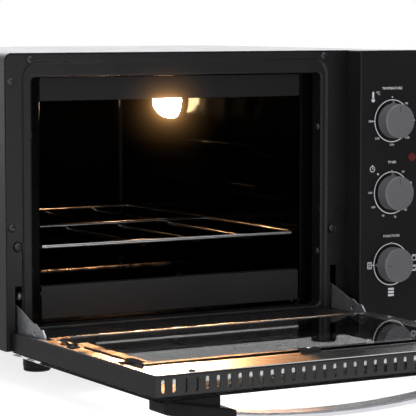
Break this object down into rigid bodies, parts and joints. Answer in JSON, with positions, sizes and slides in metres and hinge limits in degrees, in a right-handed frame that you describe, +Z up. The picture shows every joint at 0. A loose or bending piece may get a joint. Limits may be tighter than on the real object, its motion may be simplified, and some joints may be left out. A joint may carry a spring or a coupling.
{
  "type": "rotisserie oven",
  "caption": "Countertop electric oven with a drop-down glass door, three front knobs, a wire rack, a lit black cavity and a bowed metal handle; the door rests open.",
  "frame": {"origin": "centre of the bounding box's footprint with the door open, at the level the feet stand on", "axes": "+Z up, front and open door towards -Y, +X to the right as seen from the front"},
  "size_m": [0.55, 0.845, 0.3737],
  "materials": {
    "frame_paint": "satin black enamel paint on pressed steel",
    "cover_paint": "semi-gloss black paint with a fine texture",
    "door_paint": "satin black paint",
    "panel_paint": "semi-gloss charcoal paint with white print",
    "black_enamel": "glossy black vitreous enamel",
    "baffle_metal": "satin dark enamel",
    "bright_sheet": "bright rolled sheet, mirror-like",
    "zinc_plate": "zinc-plated steel",
    "rack_chrome": "chrome-plated wire",
    "heater_tube": "stainless tube, lightly heat-stained",
    "handle_steel": "satin steel",
    "black_plastic": "satin moulded plastic",
    "knob_grey": "metallic-grey moulded plastic",
    "door_glass": "clear tempered glass",
    "lamp_glass": "clear glass, lit warm",
    "red_lens": "red translucent lens",
    "foot_plastic": "moulded black plastic",
    "screw_black": "blackened steel"
  },
  "bodies": {
    "body": {"front_frame": "frame_paint", "outer_cover": "cover_paint", "back_cover": "cover_paint", "bottom_plate": "cover_paint", "cord_bush": "black_plastic", "cavity_liner": "black_enamel", "upper_baffle": "baffle_metal", "lower_baffle": "baffle_metal", "heater_lower_front": "heater_tube", "heater_lower_rear": "heater_tube", "heater_upper_front": "heater_tube", "heater_upper_rear": "heater_tube", "lamp_ring": "zinc_plate", "lamp_cover": "lamp_glass", "lamp_bulb": "lamp_glass", "hinge_bracket_left": "zinc_plate", "hinge_bracket_right": "zinc_plate", "control_panel": "panel_paint", "indicator_lens": "red_lens", "foot_front_left": "foot_plastic", "foot_front_right": "foot_plastic", "foot_rear_left": "foot_plastic", "foot_rear_right": "foot_plastic", "switch_temperature": "black_plastic", "switch_timer": "black_plastic", "switch_function": "black_plastic", "frame_screw_left_top": "screw_black", "frame_screw_left_mid": "screw_black", "frame_screw_left_low": "screw_black", "frame_screw_top_left": "screw_black", "frame_screw_top_right": "screw_black", "frame_screw_right_low": "screw_black", "lip_screw_right_low": "screw_black", "lip_screw_right_high": "screw_black", "lip_screw_left_low": "screw_black", "lip_screw_left_high": "screw_black"},
    "door": {"door_frame": "door_paint", "door_inner_sheet": "bright_sheet", "inner_glass": "door_glass", "outer_glass": "door_glass", "glass_rest_strip": "bright_sheet", "glass_clip_left": "black_plastic", "glass_clip_far_left": "black_plastic", "glass_clip_right": "black_plastic", "handle_bar": "handle_steel", "handle_cap_left": "black_plastic", "handle_cap_right": "black_plastic", "arm_pin_left": "zinc_plate", "arm_pin_right": "zinc_plate", "door_pin_left": "zinc_plate", "door_pin_right": "zinc_plate"},
    "arm_left": {"hinge_arm_left": "zinc_plate"},
    "arm_right": {"hinge_arm_right": "zinc_plate"},
    "rack": {"wire_rack": "rack_chrome"},
    "knob_temperature": {"knob_temperature": "knob_grey", "shaft_temperature": "zinc_plate"},
    "knob_timer": {"knob_timer": "knob_grey", "shaft_timer": "zinc_plate"},
    "knob_function": {"knob_function": "knob_grey", "shaft_function": "zinc_plate"}
  },
  "joints": [
    {"name": "door_hinge", "type": "hinge", "parent": "body", "child": "door", "pos_m": [-0.04785, -0.09475, 0.04925], "axis": [-1, 0, 0], "range_deg": [0, 90]},
    {"name": "arm_left_pivot", "type": "hinge", "parent": "door", "child": "arm_left", "pos_m": [-0.2594, -0.1425, 0.052], "axis": [1, 0, 0], "range_deg": [0, 62]},
    {"name": "arm_right_pivot", "type": "hinge", "parent": "door", "child": "arm_right", "pos_m": [0.1629, -0.1425, 0.052], "axis": [1, 0, 0], "range_deg": [0, 62]},
    {"name": "rack_slide", "type": "slide", "parent": "body", "child": "rack", "axis": [0, 1, 0], "range_m": [-0.3, 0]},
    {"name": "temperature_turn", "type": "hinge", "parent": "body", "child": "knob_temperature", "pos_m": [0.228, -0.1175, 0.2877], "axis": [0, 1, 0], "range_deg": [0, 270]},
    {"name": "timer_turn", "type": "hinge", "parent": "body", "child": "knob_timer", "pos_m": [0.228, -0.1175, 0.1997], "axis": [0, 1, 0], "range_deg": [-41, 275]},
    {"name": "function_turn", "type": "hinge", "parent": "body", "child": "knob_function", "pos_m": [0.228, -0.1175, 0.1117], "axis": [0, 1, 0], "range_deg": [-270, 0]}
  ],
  "couplings": [
    {"joint": "arm_left_pivot", "follows": "door_hinge", "ratio": 0.68333},
    {"joint": "arm_right_pivot", "follows": "door_hinge", "ratio": 0.68333}
  ]
}
